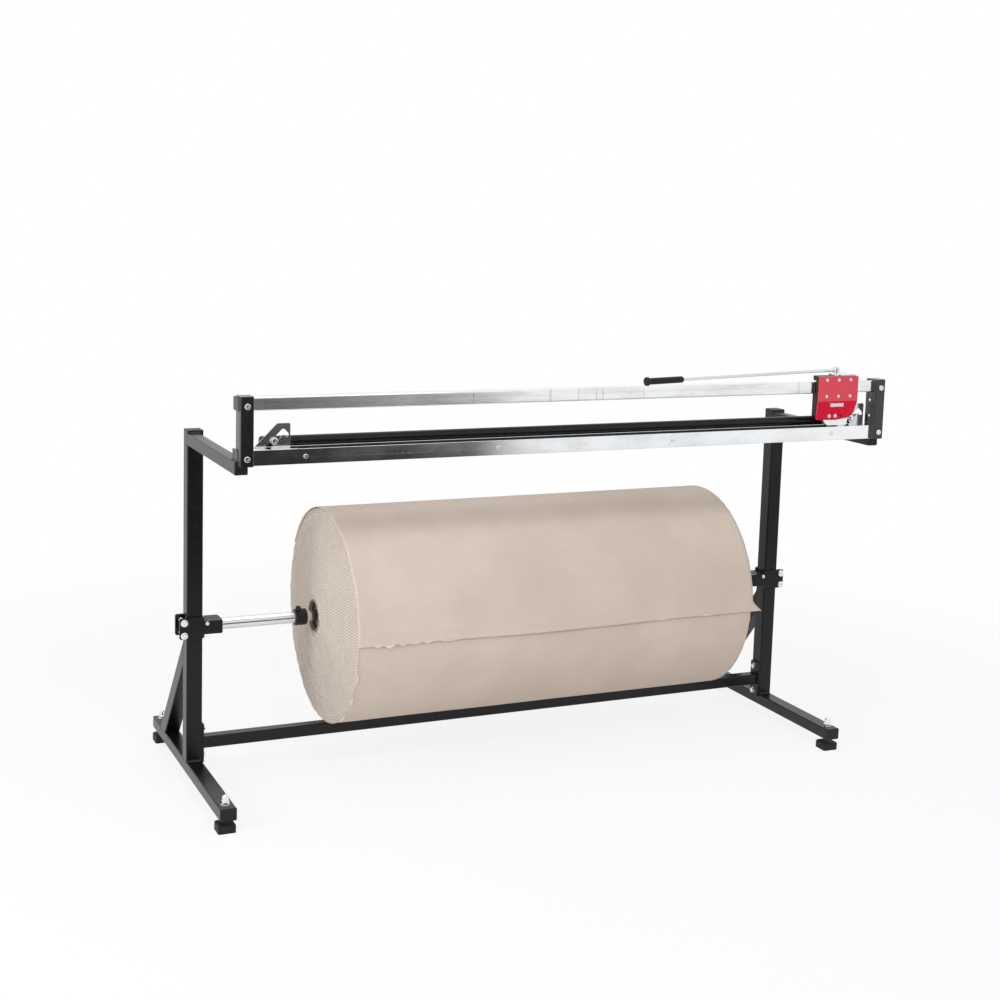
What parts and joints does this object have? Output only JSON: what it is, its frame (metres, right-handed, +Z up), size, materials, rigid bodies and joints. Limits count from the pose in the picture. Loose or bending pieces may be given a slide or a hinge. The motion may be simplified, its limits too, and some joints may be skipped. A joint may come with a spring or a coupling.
{
  "type": "floor-standing paper roll cutter",
  "caption": "Floor-standing steel stand that holds a wide paper roll on a shaft, with a hand-pulled sliding cutter on a rail above its front.",
  "frame": {"origin": "on the floor, in the middle of the whole object's footprint, the lever included", "axes": "+X along the roll to the end where the carriage rests, +Y from the cutter's front to the back, +Z up"},
  "size_m": [1.768, 0.9476, 1.0713],
  "materials": {
    "frame_black": "gloss powder coat",
    "block_black": "satin machined plastic",
    "bracket_black": "satin powder coat",
    "cap_black": "satin moulded",
    "plug_grey": "moulded",
    "pad_rubber": "matt",
    "zinc_steel": "zinc plated",
    "rail_steel": "drawn, bright zinc",
    "bright_steel": "bright plated",
    "collar_black": "black satin",
    "paper": "matt fluted kraft paper",
    "cardboard": "matt wound board",
    "hub_plastic": "moulded",
    "strip_black": "matt",
    "cover_red": "gloss paint",
    "roller_steel": "ground",
    "wheel_steel": "ground",
    "label_metal": "brushed, left bare",
    "grip_black": "ribbed, matt"
  },
  "bodies": {
    "stand": {"arm_caps": "cap_black", "bottom_rail": "rail_steel", "bracket_screws": "bright_steel", "bracket_side_screws": "bright_steel", "clamp_bolts": "bright_steel", "crossbar": "frame_black", "crossbar_bolts": "zinc_steel", "cutting_bar": "rail_steel", "cutting_bar_screws": "bright_steel", "cutting_strip": "strip_black", "foot_caps": "cap_black", "foot_nuts": "bright_steel", "foot_pads": "pad_rubber", "foot_studs": "zinc_steel", "jaw_bolts": "bright_steel", "left_arm": "frame_black", "left_brace": "frame_black", "left_clamp_plates": "frame_black", "left_end_bracket": "bracket_black", "left_foot_tube": "frame_black", "left_hook_plate": "zinc_steel", "left_post": "frame_black", "left_shaft_jaws": "block_black", "post_caps": "cap_black", "rail_plugs": "plug_grey", "right_arm": "frame_black", "right_brace": "frame_black", "right_clamp_plates": "frame_black", "right_end_bracket": "bracket_black", "right_foot_tube": "frame_black", "right_hook_plate": "zinc_steel", "right_post": "frame_black", "right_shaft_jaws": "block_black", "roll_shaft": "zinc_steel", "top_rail": "rail_steel"},
    "roll": {"paper_roll": "paper", "paper_lap": "paper", "roll_core": "cardboard", "core_hubs": "hub_plastic"},
    "left_collar_body": {"left_collar": "collar_black", "left_collar_screw": "collar_black"},
    "right_collar_body": {"right_collar": "collar_black", "right_collar_screw": "collar_black"},
    "press_bar_body": {"press_bar": "bracket_black", "hook_bolts": "bright_steel"},
    "carriage": {"carriage_housing": "block_black", "carriage_cover": "cover_red", "cover_screws": "bright_steel", "lower_screws": "bright_steel", "wheel_guard": "bright_steel", "rear_keeper": "zinc_steel", "label_plate": "label_metal", "lever_post": "bright_steel"},
    "cutting_wheel_body": {"cutting_wheel": "wheel_steel"},
    "lever": {"lever_rod": "bright_steel", "lever_grip": "grip_black"},
    "upper_roller_left_body": {"upper_roller_left": "roller_steel"},
    "upper_roller_right_body": {"upper_roller_right": "roller_steel"},
    "lower_roller_left_body": {"lower_roller_left": "roller_steel"},
    "lower_roller_right_body": {"lower_roller_right": "roller_steel"}
  },
  "joints": [
    {"name": "roll_spin", "type": "hinge", "parent": "stand", "child": "roll", "pos_m": [0, 0.11979, 0.4045], "axis": [1, 0, 0], "continuous": true},
    {"name": "left_collar_slide", "type": "slide", "parent": "stand", "child": "left_collar_body", "axis": [-1, 0, 0], "range_m": [-0.02, 0.19]},
    {"name": "right_collar_slide", "type": "slide", "parent": "stand", "child": "right_collar_body", "axis": [1, 0, 0], "range_m": [-0.02, 0.138]},
    {"name": "press_bar_lift", "type": "slide", "parent": "stand", "child": "press_bar_body", "axis": [0.7071, 0, 0.7071], "range_m": [0, 0.029]},
    {"name": "carriage_slide", "type": "slide", "parent": "stand", "child": "carriage", "axis": [1, 0, 0], "range_m": [-1.38, 0.01]},
    {"name": "cutting_wheel_spin", "type": "hinge", "parent": "carriage", "child": "cutting_wheel_body", "pos_m": [0.7025, -0.31921, 0.9448], "axis": [0, 1, 0], "continuous": true},
    {"name": "lever_swivel", "type": "hinge", "parent": "carriage", "child": "lever", "pos_m": [0.706, -0.33321, 1.061], "axis": [0, 0, 1], "range_deg": [-11, 110]},
    {"name": "upper_roller_left_spin", "type": "hinge", "parent": "carriage", "child": "upper_roller_left_body", "pos_m": [0.67, -0.32761, 1.0373], "axis": [0, 1, 0], "continuous": true},
    {"name": "upper_roller_right_spin", "type": "hinge", "parent": "carriage", "child": "upper_roller_right_body", "pos_m": [0.742, -0.32761, 1.0373], "axis": [0, 1, 0], "continuous": true},
    {"name": "lower_roller_left_spin", "type": "hinge", "parent": "carriage", "child": "lower_roller_left_body", "pos_m": [0.67, -0.32761, 0.9957], "axis": [0, 1, 0], "continuous": true},
    {"name": "lower_roller_right_spin", "type": "hinge", "parent": "carriage", "child": "lower_roller_right_body", "pos_m": [0.742, -0.32761, 0.9957], "axis": [0, 1, 0], "continuous": true}
  ],
  "couplings": [
    {"joint": "cutting_wheel_spin", "follows": "carriage_slide", "rad_per_m": 35.714},
    {"joint": "upper_roller_left_spin", "follows": "carriage_slide", "rad_per_m": 181.82},
    {"joint": "upper_roller_right_spin", "follows": "carriage_slide", "rad_per_m": 181.82},
    {"joint": "lower_roller_left_spin", "follows": "carriage_slide", "rad_per_m": -181.82},
    {"joint": "lower_roller_right_spin", "follows": "carriage_slide", "rad_per_m": -181.82}
  ]
}
